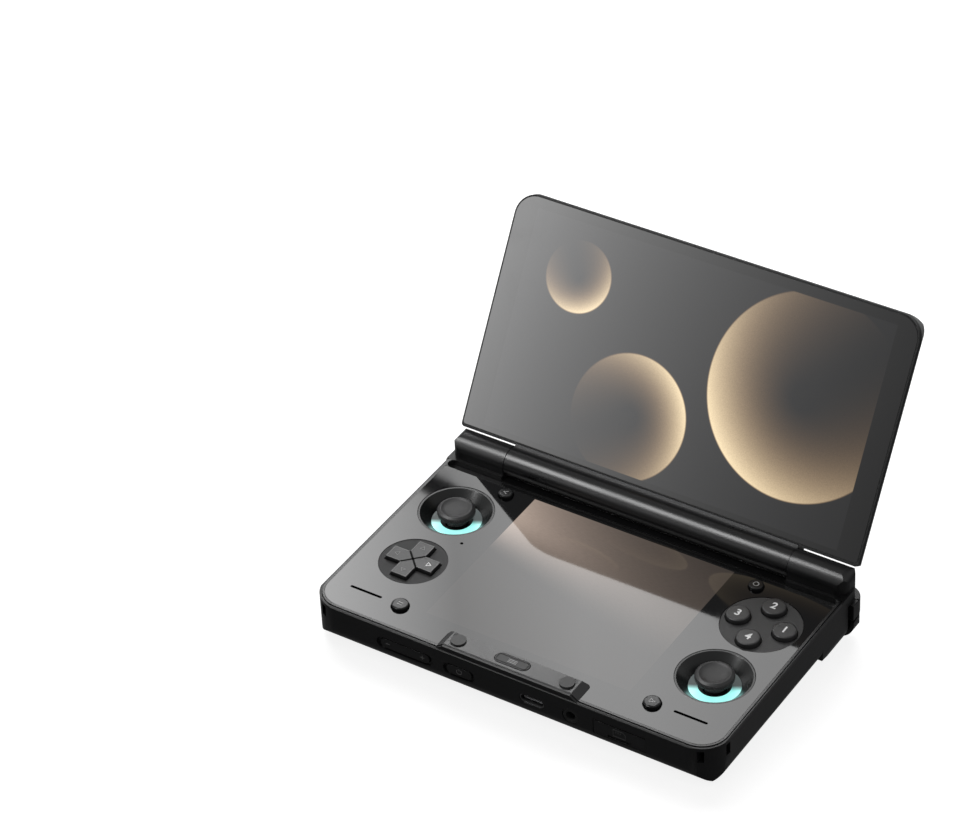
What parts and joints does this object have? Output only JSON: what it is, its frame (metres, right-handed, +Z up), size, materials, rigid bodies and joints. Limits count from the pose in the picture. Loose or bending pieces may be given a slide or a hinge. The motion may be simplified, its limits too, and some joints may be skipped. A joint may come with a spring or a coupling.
{
  "type": "clamshell handheld game console",
  "caption": "Clamshell handheld game console standing open: hinged lid with a wide display over a deck with a second display, sticks, cross key, buttons, shoulder keys and triggers.",
  "frame": {"origin": "centre of the base's flat bottom face, midway between the side walls and between the front wall and the back of the hinge towers", "axes": "+X to the player's right, +Y from the front wall to the hinge, +Z up out of the deck"},
  "size_m": [0.1526, 0.1374, 0.0983],
  "materials": {
    "case": "fine matte",
    "frame": "satin",
    "black_glass": "gloss",
    "lower_screen": "gloss",
    "board": "solder mask",
    "battery": "wrapped foil",
    "inner_black": "matte",
    "copper": "bright copper",
    "silicone": "matte",
    "key": "soft matte",
    "plate": "matte",
    "well": "satin",
    "light": "frosted",
    "steel": "satin",
    "cap": "fine knurl",
    "rubber": "matte",
    "socket_metal": "satin",
    "lid": "fine matte",
    "lid_glass": "gloss",
    "upper_screen": "gloss",
    "flex": "gloss"
  },
  "bodies": {
    "base": {"base_shell": "case", "top_frame": "frame", "deck_glass": "black_glass", "lower_display": "lower_screen", "main_board": "board", "control_boards": "board", "port_board": "board", "battery": "battery", "fan_housing": "inner_black", "heat_sink": "copper", "speakers": "inner_black", "microphone": "steel", "face_plate": "plate", "face_membrane": "silicone", "cross_plate": "plate", "stick_wells": "well", "light_rings": "light", "stick_modules": "steel", "lip_bumpers": "rubber", "data_socket": "socket_metal", "headphone_socket": "inner_black", "card_reader": "socket_metal", "button_pins": "steel", "hinge_cartridges": "steel", "feet": "rubber", "case_screws": "steel"},
    "lid": {"lid_shell": "lid", "lid_frame": "lid", "lid_glass": "lid_glass", "upper_display": "upper_screen", "hinge_cover": "lid", "hinge_flex": "flex", "hinge_shafts": "steel"},
    "fan": {"fan_rotor": "inner_black"},
    "face_button_1": {"face_button_1": "key"},
    "face_button_2": {"face_button_2": "key"},
    "face_button_3": {"face_button_3": "key"},
    "face_button_4": {"face_button_4": "key"},
    "cross_pivot": {"cross_pivot": "steel"},
    "cross_key": {"cross_key": "key"},
    "left_stick_carriage": {"left_stick_carriage": "inner_black"},
    "left_stick_yoke": {"left_stick_yoke": "steel"},
    "left_stick": {"left_stick_post": "steel", "left_stick_cap": "cap"},
    "right_stick_carriage": {"right_stick_carriage": "inner_black"},
    "right_stick_yoke": {"right_stick_yoke": "steel"},
    "right_stick": {"right_stick_post": "steel", "right_stick_cap": "cap"},
    "select_button": {"select_button": "key"},
    "start_button": {"start_button": "key"},
    "back_button": {"back_button": "key"},
    "home_button": {"home_button": "key"},
    "menu_key": {"menu_key": "key"},
    "volume_key": {"volume_key": "key"},
    "power_key": {"power_key": "key"},
    "card_flap": {"card_flap": "key"},
    "left_shoulder": {"left_shoulder": "key"},
    "left_trigger": {"left_trigger": "key"},
    "right_shoulder": {"right_shoulder": "key"},
    "right_trigger": {"right_trigger": "key"}
  },
  "joints": [
    {"name": "lid_hinge", "type": "hinge", "parent": "base", "child": "lid", "pos_m": [0, 0.0418, 0.0173], "axis": [1, 0, 0], "range_deg": [-19, 121]},
    {"name": "fan_spin", "type": "hinge", "parent": "base", "child": "fan", "pos_m": [0, 0.019, 0.005], "axis": [0, 0, 1], "continuous": true},
    {"name": "face_button_1_press", "type": "slide", "parent": "base", "child": "face_button_1", "axis": [0, 0, -1], "range_m": [0, 0.0008], "stiffness_N_per_m": 25, "springref_m": -0.0004},
    {"name": "face_button_2_press", "type": "slide", "parent": "base", "child": "face_button_2", "axis": [0, 0, -1], "range_m": [0, 0.0008], "stiffness_N_per_m": 25, "springref_m": -0.0004},
    {"name": "face_button_3_press", "type": "slide", "parent": "base", "child": "face_button_3", "axis": [0, 0, -1], "range_m": [0, 0.0008], "stiffness_N_per_m": 25, "springref_m": -0.0004},
    {"name": "face_button_4_press", "type": "slide", "parent": "base", "child": "face_button_4", "axis": [0, 0, -1], "range_m": [0, 0.0008], "stiffness_N_per_m": 25, "springref_m": -0.0004},
    {"name": "cross_tilt_front_back", "type": "hinge", "parent": "base", "child": "cross_pivot", "pos_m": [-0.0552, -0.0152, 0.0102], "axis": [1, 0, 0], "range_deg": [-4.5, 4.5], "stiffness_Nm_per_rad": 0.003},
    {"name": "cross_tilt_left_right", "type": "hinge", "parent": "cross_pivot", "child": "cross_key", "pos_m": [-0.0552, -0.0152, 0.0102], "axis": [0, 1, 0], "range_deg": [-4.5, 4.5], "stiffness_Nm_per_rad": 0.003},
    {"name": "left_stick_click", "type": "slide", "parent": "base", "child": "left_stick_carriage", "axis": [0, 0, -1], "range_m": [0, 0.0004], "stiffness_N_per_m": 80, "springref_m": -0.0004},
    {"name": "left_stick_tilt_front_back", "type": "hinge", "parent": "left_stick_carriage", "child": "left_stick_yoke", "pos_m": [-0.057, 0.0134, 0.0084], "axis": [1, 0, 0], "range_deg": [-12, 12], "stiffness_Nm_per_rad": 0.0012},
    {"name": "left_stick_tilt_left_right", "type": "hinge", "parent": "left_stick_yoke", "child": "left_stick", "pos_m": [-0.057, 0.0134, 0.0084], "axis": [0, 1, 0], "range_deg": [-12, 12], "stiffness_Nm_per_rad": 0.0012},
    {"name": "right_stick_click", "type": "slide", "parent": "base", "child": "right_stick_carriage", "axis": [0, 0, -1], "range_m": [0, 0.0004], "stiffness_N_per_m": 80, "springref_m": -0.0004},
    {"name": "right_stick_tilt_front_back", "type": "hinge", "parent": "right_stick_carriage", "child": "right_stick_yoke", "pos_m": [0.057, -0.0152, 0.0084], "axis": [1, 0, 0], "range_deg": [-12, 12], "stiffness_Nm_per_rad": 0.0012},
    {"name": "right_stick_tilt_left_right", "type": "hinge", "parent": "right_stick_yoke", "child": "right_stick", "pos_m": [0.057, -0.0152, 0.0084], "axis": [0, 1, 0], "range_deg": [-12, 12], "stiffness_Nm_per_rad": 0.0012},
    {"name": "select_button_press", "type": "slide", "parent": "base", "child": "select_button", "axis": [0, 0, -1], "range_m": [0, 0.0008], "stiffness_N_per_m": 12, "springref_m": -0.0004},
    {"name": "start_button_press", "type": "slide", "parent": "base", "child": "start_button", "axis": [0, 0, -1], "range_m": [0, 0.0008], "stiffness_N_per_m": 12, "springref_m": -0.0004},
    {"name": "back_button_press", "type": "slide", "parent": "base", "child": "back_button", "axis": [0, 0, -1], "range_m": [0, 0.0008], "stiffness_N_per_m": 12, "springref_m": -0.0004},
    {"name": "home_button_press", "type": "slide", "parent": "base", "child": "home_button", "axis": [0, 0, -1], "range_m": [0, 0.0008], "stiffness_N_per_m": 12, "springref_m": -0.0004},
    {"name": "menu_key_press", "type": "slide", "parent": "base", "child": "menu_key", "axis": [0, 0, -1], "range_m": [0, 0.0004], "stiffness_N_per_m": 25, "springref_m": -0.0003},
    {"name": "volume_key_rock", "type": "hinge", "parent": "base", "child": "volume_key", "pos_m": [-0.038, -0.04395, 0.0077], "axis": [0, 0, 1], "range_deg": [-2, 2], "stiffness_Nm_per_rad": 0.0006},
    {"name": "power_key_press", "type": "slide", "parent": "base", "child": "power_key", "axis": [0, 1, 0], "range_m": [0, 0.0003], "stiffness_N_per_m": 10, "springref_m": -0.0003},
    {"name": "card_flap_open", "type": "hinge", "parent": "base", "child": "card_flap", "pos_m": [0.0412, -0.046, 0.0094], "axis": [-1, 0, 0], "range_deg": [0, 100]},
    {"name": "left_shoulder_press", "type": "hinge", "parent": "base", "child": "left_shoulder", "pos_m": [-0.0533, 0.0441, 0.007], "axis": [0, 0, 1], "range_deg": [0, 2.3], "stiffness_Nm_per_rad": 0.01, "springref_deg": -2.86},
    {"name": "left_trigger_pull", "type": "hinge", "parent": "base", "child": "left_trigger", "pos_m": [-0.062, 0.0448, 0.0016], "axis": [-1, 0, 0], "range_deg": [0, 12], "stiffness_Nm_per_rad": 0.0015, "springref_deg": -5.73},
    {"name": "right_shoulder_press", "type": "hinge", "parent": "base", "child": "right_shoulder", "pos_m": [0.0533, 0.0441, 0.007], "axis": [0, 0, -1], "range_deg": [0, 2.3], "stiffness_Nm_per_rad": 0.01, "springref_deg": -2.86},
    {"name": "right_trigger_pull", "type": "hinge", "parent": "base", "child": "right_trigger", "pos_m": [0.062, 0.0448, 0.0016], "axis": [-1, 0, 0], "range_deg": [0, 12], "stiffness_Nm_per_rad": 0.0015, "springref_deg": -5.73}
  ]
}
